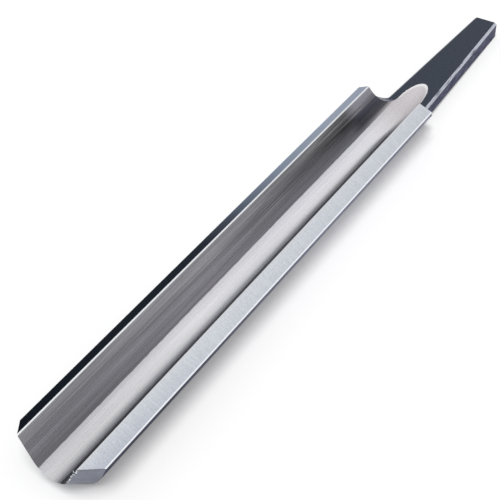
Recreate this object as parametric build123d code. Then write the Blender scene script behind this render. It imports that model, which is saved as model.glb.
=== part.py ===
from build123d import *
import math
import os

# Driving sizes, in millimetres and degrees

# Whole blade, measured from the cutting edge
blade_length = 248.4
flute_length = 174.2        # to the back of the arms, at the inner rim edges
runout_length = 198.0       # to the tip of the tongue that the flute ends in

# Cross-section of the trough
flute_width = 19.0          # between the two inner rim edges
flute_depth = 11.2          # rim edge down to the floor of the flute
flute_radius = 6.4          # round floor of the flute
floor_wall = 4.75           # steel under that floor
belly_radius = 12.0         # round underside of the trough
belly_flat = 4.0            # narrow flat along that underside, on which the blade lies still
rim_width = 5.0             # ground face on top of each arm
rim_slope = 29.5            # fall of that face towards the outside
arris = 0.35                # long edges of the rims, broken on a belt

# Grinding
bevel_angle = 42.5          # between the bevel and the length of the blade
flute_wheel_radius = 60.0   # wheel that leaves the tongue behind the flute
scallop_radius = 12.0       # wheel that takes the arms down to the tang

# Tang
tang_height = 6.2           # belly line up to the top face
tang_root_width = 14.8
tang_root_thickness = 4.9
tang_end_width = 8.8
tang_end_thickness = 6.1
tang_chamfer = 0.8          # round the top face
tang_edge_radius = 0.4      # along the underside
tang_end_radius = 0.9       # upright corners of the end
shoulder_inset = 3.2        # shoulders lie this far ahead of the scallop's lowest line
shoulder_radius = 2.4       # hollow corner between shoulder and tang
neck_flare = 35.0           # how fast the round belly opens into the square tang
neck_length = 5.0           # slope from the belly up to the underside of the tang

# Working room for the cutting shapes
clearance = 4.0
wheel_turn = 30.0           # turn that carries the flute's section clear of the tang
hair = 0.01                 # edges are picked to this

# Sizes worked out from those above
rim_height = floor_wall + flute_depth
half_flute = flute_width / 2
rim_run = rim_width * math.cos(math.radians(rim_slope))
rim_fall = rim_width * math.sin(math.radians(rim_slope))
half_outside = half_flute + rim_run
rim_corner = (half_outside, rim_height - rim_fall)
ridge_height = rim_height + half_flute * math.tan(math.radians(rim_slope))
cut_height = ridge_height + clearance
belly_sag = belly_radius - math.sqrt(belly_radius**2 - (belly_flat / 2)**2)
scallop_height = tang_height + scallop_radius
scallop_back = math.sqrt(scallop_radius**2 - (scallop_height - rim_height)**2)

# Stations along the blade: the origin is under its middle, the tang points to +X
edge_x = -blade_length / 2
end_x = blade_length / 2
scallop_x = edge_x + flute_length + scallop_back
shoulder_x = scallop_x - shoulder_inset
neck_x = shoulder_x + neck_length
bevel_reach = (rim_width + floor_wall) / math.tan(math.radians(bevel_angle))
tongue_rise = tang_height - floor_wall
tongue_run = math.sqrt(tongue_rise * (2 * flute_wheel_radius - tongue_rise))
wheel_x = edge_x + runout_length - tongue_run


def touch_point(corner, radius, bottom):
    """Where a straight wall from the corner meets the round floor."""
    centre = bottom + radius
    reach = math.hypot(corner[0], corner[1] - centre)
    angle = math.atan2(corner[1] - centre, corner[0]) - math.acos(radius / reach)
    return radius * math.cos(angle), centre + radius * math.sin(angle)


def towards(start, goal, distance):
    """The point that lies this far from start on the way to goal."""
    share = distance / math.dist(start, goal)
    return tuple(a + share * (b - a) for a, b in zip(start, goal))


def round_bottomed_face(x, bottom, touch, side):
    """A symmetric section at x: a round bottom up to touch, then the points of one side."""
    mirrored = [(-y, z) for y, z in reversed(side) if y > 0]
    with BuildSketch(Plane.YZ.offset(x)) as section:
        with BuildLine():
            ThreePointArc((-touch[0], touch[1]), (0, bottom), touch)
            Polyline(touch, *side, *mirrored, (-touch[0], touch[1]))
        make_face()
    return section.sketch


def flute_face(x, edge_break):
    """The section of the flute at x, open above the rims, with its two edges broken or sharp."""
    corner = (half_flute, rim_height)
    touch = touch_point(corner, flute_radius, floor_wall)
    lean = (corner[0] - touch[0]) / (corner[1] - touch[1])
    rise = cut_height - rim_height
    side = [(corner[0] + rise * lean, cut_height)]
    if edge_break > 0:
        on_rim = towards(corner, rim_corner, edge_break)
        side = [towards(corner, touch, edge_break), on_rim, (on_rim[0] + rise * lean, cut_height)]
    return round_bottomed_face(x, floor_wall, touch, side)


def blank_face(x):
    """The outside of the blade at x, with the two rim faces running up to a ridge."""
    touch = touch_point(rim_corner, belly_radius, -belly_sag)
    ridge = (0, ridge_height)
    side = [towards(rim_corner, touch, arris), towards(rim_corner, ridge, arris), ridge]
    whole = round_bottomed_face(x, -belly_sag, touch, side)
    with BuildSketch(Plane.YZ.offset(x)) as below:
        Rectangle(2 * half_outside, clearance, align=(Align.CENTER, Align.MAX))
    return whole - below.sketch


def across(side_view):
    """A sketch of the side view, carried across the whole blade."""
    return extrude(side_view, amount=half_outside + clearance, both=True)


def scallop_waste():
    """What the wheel takes off above the tang, with the hollow backs of the arms."""
    length = end_x + clearance - scallop_x
    height = cut_height - tang_height
    with BuildSketch(Plane.XZ) as side_view:
        with Locations((scallop_x, scallop_height)):
            Circle(scallop_radius)
        with Locations((scallop_x, tang_height)):
            Rectangle(length, height, align=(Align.MIN, Align.MIN))
    return across(side_view.sketch)


def flute_waste():
    """The straight flute, and the rise of the wheel that ends it in a tongue."""
    start = edge_x - clearance
    straight = extrude(flute_face(start, arris), amount=wheel_x - start)
    wheel_axis = Axis((wheel_x, 0, floor_wall + flute_wheel_radius), (0, -1, 0))
    rise = revolve(flute_face(wheel_x, arris), wheel_axis, wheel_turn)
    return straight + rise


def bevel_waste():
    """What the grinding of the bevel takes off, all round the outside of the edge."""
    kept = extrude(flute_face(edge_x, 0), amount=bevel_reach + clearance, taper=-bevel_angle)
    with BuildSketch(Plane.XZ) as side_view:
        with Locations((edge_x - clearance, -clearance)):
            Rectangle(bevel_reach + clearance, cut_height + clearance, align=(Align.MIN, Align.MIN))
    return across(side_view.sketch) - kept


def tang_plan():
    """The tang seen from above, with rounded corners at its end, as high as the rims."""
    half_root = tang_root_width / 2
    half_end = tang_end_width / 2
    with BuildPart() as plan:
        with BuildSketch(Plane.XY):
            with BuildLine():
                Polyline((shoulder_x, -half_root), (end_x, -half_end), (end_x, half_end),
                         (shoulder_x, half_root), close=True)
            make_face()
        extrude(amount=rim_height)
        fillet(plan.edges().filter_by(Axis.Z).sort_by(Axis.X)[-2:], tang_end_radius)
    return plan.part


def tang_blank():
    """The tapered bar that the handle is driven on to, before its top is ground."""
    root_bottom = tang_height - tang_root_thickness
    end_bottom = tang_height - tang_end_thickness
    with BuildSketch(Plane.XZ) as side_view:
        with BuildLine():
            Polyline((shoulder_x, 0), (neck_x, root_bottom), (end_x, end_bottom),
                     (end_x, rim_height), (shoulder_x, rim_height), close=True)
        make_face()
    neck = extrude(blank_face(shoulder_x), amount=end_x - shoulder_x, taper=-neck_flare)
    return tang_plan() & across(side_view.sketch) & neck


def soften_tang(blade):
    """Hollow corners at the shoulders, a chamfer round the top, soft edges underneath."""
    upright = blade.edges().filter_by(Axis.Z)
    corners = upright.filter_by_position(Axis.X, shoulder_x - hair, shoulder_x + hair)
    blade = fillet(corners, shoulder_radius)
    rear = blade.edges().filter_by(lambda e: e.center().X > shoulder_x + hair)
    top = rear.filter_by(lambda e: e.center().Z > tang_height - hair)
    outline = top.filter_by(lambda e: abs(e.center().X - scallop_x) > hair)
    blade = chamfer(outline, tang_chamfer)
    underside = blade.faces().filter_by(lambda f: f.center().X > neck_x).sort_by(Axis.Z)[0]
    lower = underside.edges().filter_by(lambda e: e.center().X > neck_x + hair)
    return fillet(lower, tang_edge_radius)


def gouge_blade():
    """The whole blade, from one bar: trough, tang, scalloped arms, flute and bevel."""
    trough = extrude(blank_face(edge_x), amount=shoulder_x - edge_x)
    blade = trough + tang_blank()
    blade = blade - scallop_waste()
    blade = soften_tang(blade)
    blade = blade - flute_waste()
    blade = blade - bevel_waste()
    return blade


os.makedirs("parts", exist_ok=True)
blade = gouge_blade()
print("solids", len(blade.solids()), "volume", round(blade.volume, 1), "box", blade.bounding_box())
export_step(blade, "parts/gouge_blade.step")
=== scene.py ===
# %% [markdown]
# # A roughing gouge, dressed around its construction model
#
# A spindle roughing gouge is one bar of tool steel: a deep trough with a bevel ground round its
# front end, two flat rims, and a tapered tang that goes into a handle. Nothing on it is painted.
# All that the eye has to go on is how each face was ground and what it reflects. In this model most
# of those reflections, and the highlights on the edges, are painted into the colours of the steel,
# so most of this lesson is about ground steel, painted reflections, and a light that steel can be
# seen in.
#
# The construction model comes in first and stays where it is. Every length that Blender gets is
# in metres. A toolmaker thinks in millimetres, so the sizes below are written that way, and `MM`
# turns them into metres.

# %% Load the construction model
import math

import bmesh
import bpy
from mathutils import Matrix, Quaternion, Vector


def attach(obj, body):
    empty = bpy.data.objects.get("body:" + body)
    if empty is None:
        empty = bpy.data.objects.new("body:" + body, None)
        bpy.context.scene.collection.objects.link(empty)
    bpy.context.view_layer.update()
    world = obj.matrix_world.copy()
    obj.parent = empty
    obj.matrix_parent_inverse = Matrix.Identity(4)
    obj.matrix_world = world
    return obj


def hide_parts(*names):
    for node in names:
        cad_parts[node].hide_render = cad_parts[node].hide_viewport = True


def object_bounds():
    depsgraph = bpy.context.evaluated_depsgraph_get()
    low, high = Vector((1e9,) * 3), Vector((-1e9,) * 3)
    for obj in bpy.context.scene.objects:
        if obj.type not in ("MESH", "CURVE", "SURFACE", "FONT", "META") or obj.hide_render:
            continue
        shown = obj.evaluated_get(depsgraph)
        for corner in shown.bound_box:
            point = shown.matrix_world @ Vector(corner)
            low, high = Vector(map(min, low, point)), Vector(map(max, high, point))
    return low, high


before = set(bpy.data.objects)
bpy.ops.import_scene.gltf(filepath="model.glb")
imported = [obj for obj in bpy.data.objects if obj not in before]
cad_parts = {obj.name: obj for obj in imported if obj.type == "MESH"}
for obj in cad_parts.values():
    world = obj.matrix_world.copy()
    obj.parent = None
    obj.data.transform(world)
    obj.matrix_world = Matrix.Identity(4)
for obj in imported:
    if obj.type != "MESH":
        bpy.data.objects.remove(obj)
model_low, model_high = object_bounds()
MM = 0.001
print("the model runs from", [round(v / MM, 2) for v in model_low])
print("                 to", [round(v / MM, 2) for v in model_high], "mm")

# %% [markdown]
# ## A camera where the photographer stood
#
# A camera could be put by eye. Here its place was worked out instead, from the four long edges
# of the rims, which draw together towards the tang as parallel lines do. The picture was trimmed
# a little off its middle, which a small lens shift repeats. The roll is the slight turn of a
# camera that is held by hand, about its own line of sight.

# %% Camera
camera_place = Vector((-233.4, -137.6, 235.0)) * MM
looked_at = Vector((-37.2, 8.1, 15.95)) * MM
camera_roll = math.radians(-2.963)

camera_data = bpy.data.cameras.new("camera")
camera_data.sensor_width = 36
camera_data.lens = 81.86
camera_data.shift_x = 0.0512
camera_data.shift_y = -0.0303
camera_data.clip_start = 0.01
camera = bpy.data.objects.new("camera", camera_data)
line_of_sight = looked_at - camera_place
camera.location = camera_place
camera.rotation_mode = "QUATERNION"
camera.rotation_quaternion = line_of_sight.to_track_quat("-Z", "Y") @ Quaternion((0, 0, 1), camera_roll)
bpy.context.scene.collection.objects.link(camera)
bpy.context.scene.camera = camera
print("the camera is", round(line_of_sight.length / MM), "mm from the blade")

# %% [markdown]
# ## Shader maths that reads like maths
#
# A finish is a graph of nodes, and twenty Math nodes in a row are hard to read. `Wire` wraps one
# output socket, so that `0.3 + 0.1 * grain` adds the nodes by itself. `Finish` is one material:
# its `node` method makes any other node from a type, the settings, which are set first, and then
# the values or wires for its sockets.

# %% Wires and finishes
class Wire:
    """An output socket that can be used in sums with numbers and with other wires."""

    def __init__(self, finish, socket):
        self.finish = finish
        self.socket = socket

    def maths(self, operation, *values, clamped=False):
        settings = {"operation": operation, "use_clamp": clamped}
        return self.finish.node("ShaderNodeMath", settings, dict(enumerate(values)))

    def __add__(self, other):
        return self.maths("ADD", self, other)

    def __radd__(self, other):
        return self.maths("ADD", other, self)

    def __sub__(self, other):
        return self.maths("SUBTRACT", self, other)

    def __rsub__(self, other):
        return self.maths("SUBTRACT", other, self)

    def __mul__(self, other):
        return self.maths("MULTIPLY", self, other)

    def __rmul__(self, other):
        return self.maths("MULTIPLY", other, self)

    def __truediv__(self, other):
        return self.maths("DIVIDE", self, other)

    def __abs__(self):
        return self.maths("ABSOLUTE", self)

    def rise(self, start, end):
        """0 up to start, 1 from end on, and a straight line between; end may be the lower one."""
        return self.maths("DIVIDE", self - start, end - start, clamped=True)


class Finish:
    """One material, made node by node."""

    def __init__(self, name):
        self.material = bpy.data.materials.new(name)
        self.material.use_nodes = True
        self.tree = self.material.node_tree
        self.tree.nodes.clear()

    def node(self, kind, settings=None, inputs=None, out=0):
        made = self.tree.nodes.new(kind)
        for name, value in (settings or {}).items():
            if name == "stops":
                self.set_stops(made.color_ramp, value)
            else:
                setattr(made, name, value)
        for name, value in (inputs or {}).items():
            if isinstance(value, Wire):
                self.tree.links.new(value.socket, made.inputs[name])
            else:
                made.inputs[name].default_value = value
        return Wire(self, made.outputs[out])

    def set_stops(self, ramp, stops):
        while len(ramp.elements) < len(stops):
            ramp.elements.new(1.0)
        for element, (place, colour) in zip(ramp.elements, stops):
            element.position = place
            element.color = colour

    def place(self):
        """A point of the blade in millimetres: the whole vector, then its x, y and z."""
        point = self.node("ShaderNodeTexCoord", out="Object")
        point = self.node("ShaderNodeVectorMath", {"operation": "SCALE"},
                          {0: point, "Scale": 1 / MM})
        return point, *(self.node("ShaderNodeSeparateXYZ", {}, {0: point}, out=axis)
                        for axis in "XYZ")

    def noise(self, point, per_mm, seed, detail=3.0, roughness=0.6):
        """Cloudy values round 0.5. per_mm says how many grains a millimetre holds each way."""
        point = self.node("ShaderNodeVectorMath", {"operation": "MULTIPLY"},
                          {0: point, 1: per_mm})
        return self.node("ShaderNodeTexNoise", {"noise_dimensions": "4D"}, {
            "Vector": point, "W": seed, "Scale": 1.0, "Detail": detail, "Roughness": roughness})

    def mix(self, share, first, second, blend="MIX"):
        """A colour between two others, or one laid over the other."""
        settings = {"data_type": "RGBA", "blend_type": blend}
        return self.node("ShaderNodeMix", settings, {0: share, 6: first, 7: second}, out=2)

    def run(self, measure, stops):
        """A colour that changes with a measure: stops are pairs of a value and a colour."""
        first, last = stops[0][0], stops[-1][0]
        places = [((value - first) / (last - first), colour) for value, colour in stops]
        return self.node("ShaderNodeValToRGB", {"stops": places}, {0: measure.rise(first, last)})

    def shade(self, colour, strength):
        """The colour times a plain number that may change over the surface."""
        return self.node("ShaderNodeVectorMath", {"operation": "SCALE"},
                         {0: colour, "Scale": strength})

    def steel(self, colour, roughness, relief, depth, edge=(1, 1, 1, 1), metallic=1.0):
        """Ends the material as steel, with a relief of this depth in millimetres."""
        bump = self.node("ShaderNodeBump", {}, {"Distance": depth * MM, "Height": relief})
        surface = self.node("ShaderNodeBsdfPrincipled", {}, {
            "Base Color": colour, "Roughness": roughness, "Metallic": metallic,
            "Specular Tint": edge, "Normal": bump})
        self.node("ShaderNodeOutputMaterial", {}, {"Surface": surface}, out=0) if False else None
        output = self.tree.nodes.new("ShaderNodeOutputMaterial")
        self.tree.links.new(surface.socket, output.inputs["Surface"])
        return self.material


def seen(red, green, blue):
    """A colour as a screen shows it, from 0 to 255, as the light that it stands for."""
    shares = [value / 255 for value in (red, green, blue)]
    linear = [s / 12.92 if s <= 0.04045 else ((s + 0.055) / 1.055) ** 2.4 for s in shares]
    return (*linear, 1.0)


print("a mid grey of 128 sends back", round(seen(128, 128, 128)[0], 3), "of the light")

# %% [markdown]
# ## The studio
#
# Steel shows its surroundings, so the surroundings are part of the finish.

# %% Floor
floor_half = 4000 * MM
corners = [(-1, -1), (1, -1), (1, 1), (-1, 1)]
floor_mesh = bpy.data.meshes.new("floor")
floor_mesh.from_pydata([(x * floor_half, y * floor_half, 0) for x, y in corners], [], [(0, 1, 2, 3)])
floor = bpy.data.objects.new("floor", floor_mesh)
bpy.context.scene.collection.objects.link(floor)

paper = Finish("white_paper")
paper_lit = paper.node("ShaderNodeBsdfDiffuse", {}, {"Color": (0.97, 0.97, 0.97, 1)})
paper_glow = paper.node("ShaderNodeEmission", {}, {"Color": (1, 1, 1, 1), "Strength": 1.0})
to_camera = paper.node("ShaderNodeLightPath", out="Is Camera Ray")
paper_seen = paper.node("ShaderNodeMixShader", {}, {0: to_camera * 0.2, 1: paper_lit, 2: paper_glow})
paper_end = paper.tree.nodes.new("ShaderNodeOutputMaterial")
paper.tree.links.new(paper_seen.socket, paper_end.inputs["Surface"])
floor_mesh.materials.append(paper.material)

# %% Sky and key lamp
horizon_light = 0.75
zenith_light = 1.20
room_light = 0.57
world = bpy.data.worlds.new("studio")
bpy.context.scene.world = world
world.use_nodes = True
world.cycles.sampling_method = "NONE"
tree = world.node_tree
tree.nodes.clear()
way = tree.nodes.new("ShaderNodeTexCoord")
parts = tree.nodes.new("ShaderNodeSeparateXYZ")
rise = tree.nodes.new("ShaderNodeMapRange")
rise.inputs["To Min"].default_value = horizon_light
rise.inputs["To Max"].default_value = zenith_light
path = tree.nodes.new("ShaderNodeLightPath")
a = tree.nodes.new("ShaderNodeMath"); a.operation = "MAXIMUM"
b = tree.nodes.new("ShaderNodeMath"); b.operation = "MAXIMUM"
m = tree.nodes.new("ShaderNodeMix")
m.data_type = "FLOAT"
tree.links.new(path.outputs["Is Camera Ray"], a.inputs[0])
tree.links.new(path.outputs["Is Glossy Ray"], a.inputs[1])
tree.links.new(a.outputs[0], b.inputs[0])
tree.links.new(path.outputs["Is Transmission Ray"], b.inputs[1])
back = tree.nodes.new("ShaderNodeBackground")
end = tree.nodes.new("ShaderNodeOutputWorld")
tree.links.new(way.outputs["Generated"], parts.inputs[0])
tree.links.new(parts.outputs["Z"], rise.inputs["Value"])
tree.links.new(b.outputs[0], m.inputs[0])
m.inputs[2].default_value = room_light
tree.links.new(rise.outputs["Result"], m.inputs[3])
tree.links.new(m.outputs[0], back.inputs["Strength"])
tree.links.new(back.outputs[0], end.inputs["Surface"])

key_data = bpy.data.lights.new("key", "SUN")
key_data.energy = 2.1
key_data.angle = math.radians(28)
key = bpy.data.objects.new("key", key_data)
key.rotation_mode = "QUATERNION"
key_from = Vector((-0.30, -0.17, 0.94))
key.rotation_quaternion = (-key_from).to_track_quat("-Z", "Y")
key.visible_glossy = False
bpy.context.scene.collection.objects.link(key)

# %% Finishes, with reflections, highlights and shade painted into their colours
blade_half = 124.2
arms_end = 50.0


def flute_finish():
    finish = Finish("flute_ground_with_painted_reflections")
    spot, x, y, z = finish.place()
    bands = finish.noise(spot, (0.008, 0.9, 0.9), 2.0, detail=2.0).rise(0.35, 0.65)
    strokes = finish.noise(spot, (0.025, 5.0, 5.0), 1.0, detail=3.0, roughness=0.6).rise(0.35, 0.65)
    scratches = finish.noise(spot, (0.03, 4.5, 4.5), 12.0, detail=1.0).rise(0.60, 0.68)
    grit = finish.noise(spot, (2.5, 5.0, 5.0), 13.0, detail=3.0, roughness=0.8).rise(0.3, 0.7)
    waver = finish.noise(spot, (0.5, 1.0, 1.0), 3.0, detail=3.0)
    across = y + (waver - 0.5) * 0.3
    # Painted reflections across the flute: a light band along its bottom, a dark band on its right side and a grey
    # left wall, with a darker left wall in the rear copy.
    front_painted_reflection = finish.run(across, [
        (-5.0, seen(222, 221, 225)), (-3.6, seen(80, 81, 86)), (-2.8, seen(74, 76, 81)),
        (-2.1, seen(190, 191, 196)), (-1.1, seen(220, 221, 225)), (0.0, seen(212, 212, 215)),
        (1.5, seen(215, 214, 218)), (4.28, seen(212, 211, 216)), (4.42, seen(122, 121, 125)),
        (5.4, seen(142, 141, 145)), (6.6, seen(160, 159, 163)), (7.3, seen(138, 137, 141)),
        (8.0, seen(156, 155, 158)), (9.35, seen(172, 171, 174))])
    rear_painted_reflection = finish.run(across, [
        (-5.0, seen(222, 221, 225)), (-3.6, seen(70, 71, 76)), (-2.8, seen(66, 68, 74)),
        (-2.1, seen(190, 191, 196)), (-1.1, seen(236, 236, 239)), (0.0, seen(222, 221, 225)),
        (1.5, seen(220, 219, 224)), (4.28, seen(208, 208, 214)), (4.42, seen(118, 119, 126)),
        (5.4, seen(118, 118, 122)), (6.6, seen(84, 84, 87)), (7.3, seen(60, 60, 62)),
        (8.0, seen(84, 84, 86)), (9.35, seen(112, 112, 114))])
    tongue = finish.mix(grit, seen(206, 201, 205), seen(228, 223, 226))
    colour = finish.mix(x.rise(-45.0, 30.0), front_painted_reflection, rear_painted_reflection)
    # Painted reflection: the light band along the bottom gets up to a fifth lighter further back from the front.
    painted_reflection_lift = 1.0 + 0.2 * x.rise(-110.0, -60.0) * y.rise(4.6, 4.2)
    colour = finish.shade(colour, painted_reflection_lift)
    in_tongue = x.rise(40.0, 57.0) * y.rise(5.5, 4.0)
    colour = finish.mix(in_tongue, colour, tongue)
    # Painted dark reflection on the rear of the left wall, towards the scallop, darkest low on the wall.
    rear_wall_painted_dark = x.rise(33.0, 39.0) * y.rise(4.5, 6.0)
    high = finish.run(y, [(5.0, seen(52, 53, 60)), (7.2, seen(70, 72, 82)), (8.2, seen(128, 126, 134)),
                          (9.3, seen(150, 148, 158))])
    colour = finish.mix(rear_wall_painted_dark, colour, high)
    on_wall = y.rise(4.2, 4.6)
    depth = (0.22 + 0.26 * on_wall) * (1.0 - 0.7 * in_tongue)
    tone = (1.0 - 0.5 * depth + depth * strokes) * (0.88 + 0.24 * grit)
    tone = tone * (1.0 - 0.1 * on_wall + 0.2 * on_wall * bands)
    colour = finish.shade(colour, tone)
    colour = finish.mix(scratches * (0.1 + 0.35 * y.rise(5.5, 8.0)), colour, seen(225, 225, 228))
    # Painted highlight: a bright line along the top edge of the tongue, where it runs out on the tang.
    painted_lip_highlight = z.rise(5.85, 6.05) * x.rise(61.0, 63.0)
    colour = finish.mix(painted_lip_highlight, colour, seen(250, 248, 250))
    return finish.steel(colour, 0.24 + 0.12 * strokes, strokes, 0.004)


def rim_finish(name, colour_at, edge, contrast):
    finish = Finish(name)
    spot, x, y, z = finish.place()
    strokes = finish.noise(spot, (2.2, 0.2, 0.2), 4.0, detail=4.0, roughness=0.7).rise(0.3, 0.7)
    speckle = finish.noise(spot, (2.5, 2.5, 2.5), 5.0, detail=4.0, roughness=0.8).rise(0.3, 0.7)
    tone = 1.0 - contrast + contrast * (0.7 * strokes + 1.3 * speckle)
    colour = finish.shade(colour_at(finish, x, y), tone)
    return finish.steel(colour, 0.3 + 0.1 * speckle, strokes + speckle, 0.003, edge=edge)


def pale_rim_painted_reflection(finish, x, y):
    # The rim's pale steel grey, with a painted reflection: darker at the front and towards the outer edge.
    painted_reflection_near_front = finish.run(y, [(-13.8, seen(196, 202, 213)), (-9.5, seen(219, 223, 230))])
    painted_reflection_further_on = finish.run(y, [(-13.8, seen(214, 219, 228)), (-9.5, seen(224, 228, 234))])
    return finish.mix(x.rise(-115.0, -70.0), painted_reflection_near_front, painted_reflection_further_on)


def painted_dark_reflection_rim(finish, x, y):
    # Painted dark reflection: near black at the front, growing lighter towards the rear.
    return finish.run(x, [
        (-124.0, seen(16, 19, 26)), (-60.0, seen(27, 31, 39)), (-42.0, seen(38, 43, 53)),
        (-30.0, seen(78, 85, 98)), (-20.0, seen(112, 122, 138)), (0.0, seen(156, 168, 186)),
        (15.0, seen(172, 184, 200)), (30.0, seen(184, 193, 210)), (50.0, seen(184, 193, 210))])


def arris_finish():
    finish = Finish("arris_polished_painted_highlight")
    # Painted highlight: the arris is coloured near white, lighter than the ground steel beside it.
    spot, x, y, z = finish.place()
    nicks = finish.noise(spot, (1.5, 1.5, 1.5), 6.0, detail=4.0, roughness=0.8)
    colour = finish.mix(nicks.rise(0.3, 0.7), seen(235, 238, 243), seen(250, 252, 255))
    return finish.steel(colour, 0.3 + 0.1 * nicks, nicks, 0.002)


def outside_finish():
    finish = Finish("outside_ground_with_painted_reflection")
    spot, x, y, z = finish.place()
    strokes = finish.noise(spot, (0.02, 4.0, 4.0), 7.0, detail=4.0, roughness=0.7)
    # Painted reflection: the outer wall is darker at the front and lighter towards the rear, and its low bluish edge
    # tint darkens it at grazing angles too.
    front_painted_reflection = finish.mix(strokes.rise(0.25, 0.75), seen(84, 85, 97), seen(120, 121, 132))
    rear_painted_reflection = finish.mix(strokes.rise(0.25, 0.75), seen(160, 161, 174), seen(190, 191, 204))
    colour = finish.mix(x.rise(-90.0, -10.0), front_painted_reflection, rear_painted_reflection)
    return finish.steel(colour, 0.3 + 0.12 * strokes, strokes, 0.005, edge=(0.34, 0.35, 0.42, 1))


def bevel_finish():
    finish = Finish("bevel_ground")
    spot, x, y, z = finish.place()
    turn = finish.node("ShaderNodeMath", {"operation": "ARCTAN2"}, {0: abs(y), 1: 11.15 - z})
    on_arm = z.rise(8.0, 9.0)
    around = (1.0 - on_arm) * (6.4 * turn) + on_arm * (0.442 * abs(y) + 0.897 * z)
    spread = finish.node("ShaderNodeCombineXYZ", {}, {0: x, 1: around, 2: y.rise(-0.1, 0.1)})
    strokes = finish.noise(spread, (0.25, 2.6, 5.0), 8.0, detail=4.0, roughness=0.7).rise(0.3, 0.7)
    stains = finish.noise(spot, (0.9, 0.9, 0.9), 17.0, detail=3.0).rise(0.3, 0.7)
    colour = finish.mix(strokes * 0.7 + stains * 0.3, seen(70, 74, 88), seen(126, 131, 148))
    # Painted shade: a dark line along the top of the bevel, just under the rims.
    below_rim = 15.95 - 0.5658 * (abs(y) - 9.5) - z
    colour = finish.mix(below_rim.rise(0.6, 0.35), colour, seen(36, 38, 48))
    return finish.steel(colour, 0.25 + 0.1 * strokes, strokes, 0.004)


def scallop_finish():
    finish = Finish("scallop_ground")
    spot, x, y, z = finish.place()
    strokes = finish.noise(spot, (0.4, 4.0, 0.4), 9.0, detail=4.0, roughness=0.7)
    colour = finish.mix(strokes.rise(0.25, 0.75), seen(52, 57, 70), seen(120, 126, 142))
    return finish.steel(colour, 0.3 + 0.1 * strokes, strokes, 0.004)


def tang_finish():
    finish = Finish("tang_dark_scale")
    spot, x, y, z = finish.place()
    scale = finish.noise(spot, (0.8, 0.8, 0.8), 10.0, detail=5.0, roughness=0.7).rise(0.3, 0.7)
    grit = finish.noise(spot, (5.0, 5.0, 5.0), 11.0, detail=2.0).rise(0.3, 0.7)
    colour = finish.mix(scale, seen(58, 65, 77), seen(77, 84, 98))
    colour = finish.shade(colour, 0.8 + 0.4 * grit)
    return finish.steel(colour, 0.42 + 0.15 * scale, scale + 0.4 * grit, 0.01)


def chamfer_finish():
    finish = Finish("chamfer_filed_with_painted_highlight")
    spot, x, y, z = finish.place()
    wear = finish.noise(spot, (0.12, 1.2, 1.2), 14.0, detail=4.0, roughness=0.75)
    # Filed patches with a painted highlight: they are bright only on the chamfer along the right side, at negative y.
    filed_with_painted_highlight = wear.rise(0.36, 0.50) * y.rise(1.0, -1.0)
    colour = finish.mix(filed_with_painted_highlight, seen(84, 88, 104), seen(214, 218, 230))
    return finish.steel(colour, 0.3 + 0.15 * wear, wear, 0.01)


def tang_side_finish():
    finish = Finish("tang_sides_forged")
    spot, x, y, z = finish.place()
    patches = finish.noise(spot, (0.3, 0.9, 0.9), 15.0, detail=4.0, roughness=0.7).rise(0.35, 0.65)
    grit = finish.noise(spot, (4.0, 4.0, 4.0), 16.0, detail=2.0).rise(0.3, 0.7)
    colour = finish.mix(patches, seen(60, 62, 76), seen(116, 118, 138))
    colour = finish.shade(colour, 0.85 + 0.3 * grit)
    return finish.steel(colour, 0.38 + 0.15 * grit, patches + 0.4 * grit, 0.015, edge=(0.5, 0.5, 0.55, 1))


finishes = {
    "flute": flute_finish(),
    "right_rim": rim_finish("rim_ground_across_with_painted_reflection", pale_rim_painted_reflection, (1, 1, 1, 1), 0.28),
    # The left rim carries a painted dark reflection, and its dull edge tint darkens it further.
    "left_rim": rim_finish("rim_in_shade", painted_dark_reflection_rim, (0.5, 0.51, 0.53, 1), 0.25),
    "arris": arris_finish(),
    "outside": outside_finish(),
    "bevel": bevel_finish(),
    "scallop": scallop_finish(),
    "tang": tang_finish(),
    "chamfer": chamfer_finish(),
    "tang_side": tang_side_finish(),
}
slot_names = list(finishes)

# %% Blade


def ground_by(centre, normal):
    """Which finish a face of the blade has, from where it lies and which way it looks, in mm."""
    x, y, z = centre
    if normal.x < -0.5 and x < -118.0:
        return "bevel"
    if x > 49.0 and normal.x > 0.25 and z > 6.25 and x < 62.5:
        return "scallop"
    if x > 58.0 and z > 5.9 and abs(normal.z) > 0.99:
        return "tang"
    inward = -normal.y * y
    if x < 58 and z > 15.5 and 9.3 < abs(y) < 9.85 and abs(normal.y) < 0.35:
        return "arris"
    # The right rim's outer arris gets the painted highlight of the arris finish; the left one gets the painted dark
    # reflection of the left rim.
    if x < 58 and z > 13.0 and abs(y) > 13.5 and normal.z > 0.1:
        return "arris" if y < 0 else "left_rim"
    if normal.z > 0.8 and abs(y) > 9.3 and x < 58:
        return "right_rim" if y < 0 else "left_rim"
    if normal.z > 0.3 and normal.x < 0.05 and (abs(y) < 9.7) and z > 4.7 and x < 74:
        return "flute"
    if x > 58 and z > 5.3 and 0.5 < normal.z < 0.9:
        return "chamfer"
    if x > 58:
        return "tang_side"
    return "outside"


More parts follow.
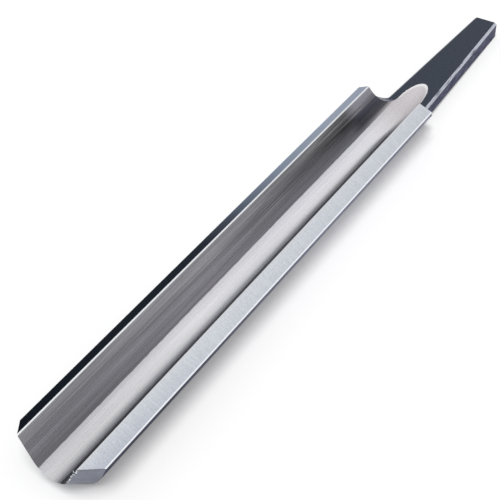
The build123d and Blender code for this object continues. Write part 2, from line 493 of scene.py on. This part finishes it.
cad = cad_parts["gouge_blade"]
mesh = cad.data.copy()
mesh.materials.clear()
for name in slot_names:
    mesh.materials.append(finishes[name])
shape = bmesh.new()
shape.from_mesh(mesh)
bmesh.ops.remove_doubles(shape, verts=shape.verts, dist=1e-6)
bmesh.ops.dissolve_limit(shape, angle_limit=math.radians(0.6), verts=shape.verts, edges=shape.edges)
count = {}
for face in shape.faces:
    name = ground_by(face.calc_center_median() / MM, face.normal)
    face.material_index = slot_names.index(name)
    count[name] = count.get(name, 0) + 1
print("faces by finish", count)
seams = {}
for edge in shape.edges:
    pair = frozenset(slot_names[face.material_index] for face in edge.link_faces)
    if len(pair) == 2:
        seams.setdefault(pair, []).append([v.co.copy() for v in edge.verts])
print("seams", {" to ".join(sorted(k)): len(v) for k, v in seams.items()})
shape.to_mesh(mesh)
shape.free()
if "custom_normal" in mesh.attributes:
    mesh.attributes.remove(mesh.attributes["custom_normal"])
blade = bpy.data.objects.new("blade", mesh)
bpy.context.scene.collection.objects.link(blade)
mesh.shade_smooth()
mesh.set_sharp_from_angle(angle=math.radians(20))
# The rounded edges get the arris finish, and so its painted highlight.
bevel = blade.modifiers.new("arris", "BEVEL")
bevel.width = 0.1 * MM
bevel.segments = 2
bevel.limit_method = "ANGLE"
bevel.angle_limit = math.radians(50)
bevel.harden_normals = True
bevel.material = slot_names.index("arris")
wn = blade.modifiers.new("wn", "WEIGHTED_NORMAL")
wn.keep_sharp = True
graph = bpy.context.evaluated_depsgraph_get()
final = bpy.data.meshes.new_from_object(blade.evaluated_get(graph))
blade.modifiers.clear()
blade.data = final
print("faces", len(final.polygons))
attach(blade, "root")
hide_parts("gouge_blade")

# %% Burr
def burr_tree():
    tree = bpy.data.node_groups.new("burr_chips", "GeometryNodeTree")
    face = tree.interface
    face.new_socket("Geometry", in_out="INPUT", socket_type="NodeSocketGeometry")
    for name, kind, value in (("Spacing", "NodeSocketFloat", 0.25 * MM), ("Chip length", "NodeSocketFloat", 0.5 * MM),
                              ("Scatter", "NodeSocketFloat", 0.15 * MM), ("Seed", "NodeSocketInt", 3),
                              ("Steel", "NodeSocketMaterial", None)):
        socket = face.new_socket(name, in_out="INPUT", socket_type=kind)
        if value is not None:
            socket.default_value = value
    face.new_socket("Geometry", in_out="OUTPUT", socket_type="NodeSocketGeometry")
    nodes, links = tree.nodes, tree.links

    def add(kind, settings=None, inputs=None):
        node = nodes.new(kind)
        for name, value in (settings or {}).items():
            setattr(node, name, value)
        for name, value in (inputs or {}).items():
            if isinstance(value, bpy.types.NodeSocket):
                links.new(value, node.inputs[name])
            else:
                node.inputs[name].default_value = value
        return node

    given = add("NodeGroupInput").outputs
    curve = add("GeometryNodeMeshToCurve", {}, {0: given["Geometry"]})
    points = add("GeometryNodeCurveToPoints", {"mode": "LENGTH"}, {"Curve": curve.outputs[0], "Length": given["Spacing"]})
    jitter = add("FunctionNodeRandomValue", {"data_type": "FLOAT_VECTOR"}, {0: (-1, -1, -1), 1: (1, 1, 1), "Seed": given["Seed"]})
    offset = add("ShaderNodeVectorMath", {"operation": "SCALE"}, {0: jitter.outputs[0], "Scale": given["Scatter"]})
    moved = add("GeometryNodeSetPosition", {}, {"Geometry": points.outputs["Points"], "Offset": offset.outputs[0]})
    chip = add("GeometryNodeMeshCone", {"fill_type": "TRIANGLE_FAN"}, {"Vertices": 4, "Radius Top": 0.0, "Radius Bottom": 0.22, "Depth": 1.0})
    turn = add("FunctionNodeRandomValue", {"data_type": "FLOAT_VECTOR"}, {0: (-3.14, -3.14, -3.14), 1: (3.14, 3.14, 3.14), "Seed": given["Seed"]})
    size = add("FunctionNodeRandomValue", {"data_type": "FLOAT"}, {2: 0.2, 3: 1.0, "Seed": given["Seed"]})
    scaled = add("ShaderNodeMath", {"operation": "MULTIPLY"}, {0: size.outputs[1], 1: given["Chip length"]})
    set_out = add("GeometryNodeInstanceOnPoints", {}, {"Points": moved.outputs[0], "Instance": chip.outputs[0],
                                                       "Rotation": turn.outputs[0], "Scale": scaled.outputs[0]})
    real = add("GeometryNodeRealizeInstances", {}, {0: set_out.outputs[0]})
    worn = add("GeometryNodeSetMaterial", {}, {"Geometry": real.outputs[0], "Material": given["Steel"]})
    add("NodeGroupOutput", {}, {0: worn.outputs[0]})
    return tree


def burr(name, segments, **settings):
    path = bpy.data.meshes.new(name)
    points, edges, found = [], [], {}
    for ends in segments:
        pair = []
        for point in ends:
            key_ = tuple(round(v, 7) for v in point)
            if key_ not in found:
                found[key_] = len(points)
                points.append(point)
            pair.append(found[key_])
        edges.append(pair)
    path.from_pydata(points, edges, [])
    piece = bpy.data.objects.new(name, path)
    bpy.context.scene.collection.objects.link(piece)
    maker = piece.modifiers.new("burr", "NODES")
    maker.node_group = tree_of_chips
    for item in tree_of_chips.interface.items_tree:
        if item.in_out == "INPUT" and item.name in settings:
            maker[item.identifier] = settings[item.name]
    graph = bpy.context.evaluated_depsgraph_get()
    made = bpy.data.meshes.new_from_object(piece.evaluated_get(graph))
    piece.modifiers.clear()
    piece.data = made
    low, high = model_low, model_high
    for vertex in made.vertices:
        vertex.co = [min(max(v, a), b) for v, a, b in zip(vertex.co, low, high)]
    print(name, "has", len(made.polygons), "faces")
    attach(piece, "root")
    return piece


tree_of_chips = burr_tree()
edge_path = [ends for ends in seams[frozenset(("bevel", "flute"))]
             if min(p.y for p in ends) < -5.5 * MM and max(p.y for p in ends) < -3.0 * MM]
tongue_path = [ends for ends in seams[frozenset(("tang", "flute"))] if min(p.x for p in ends) > 64 * MM]
print("edge path", len(edge_path), "tongue path", len(tongue_path))
# The chips get the arris finish, and so its painted highlight.
burr("edge_burr", edge_path, **{"Spacing": 0.5 * MM, "Chip length": 1.1 * MM, "Scatter": 0.2 * MM, "Seed": 5, "Steel": finishes["arris"]})
burr("tongue_burr", tongue_path, **{"Spacing": 0.35 * MM, "Chip length": 0.5 * MM, "Scatter": 0.12 * MM, "Seed": 8, "Steel": finishes["arris"]})

# %% Finish
bpy.context.scene.view_settings.view_transform = "Standard"
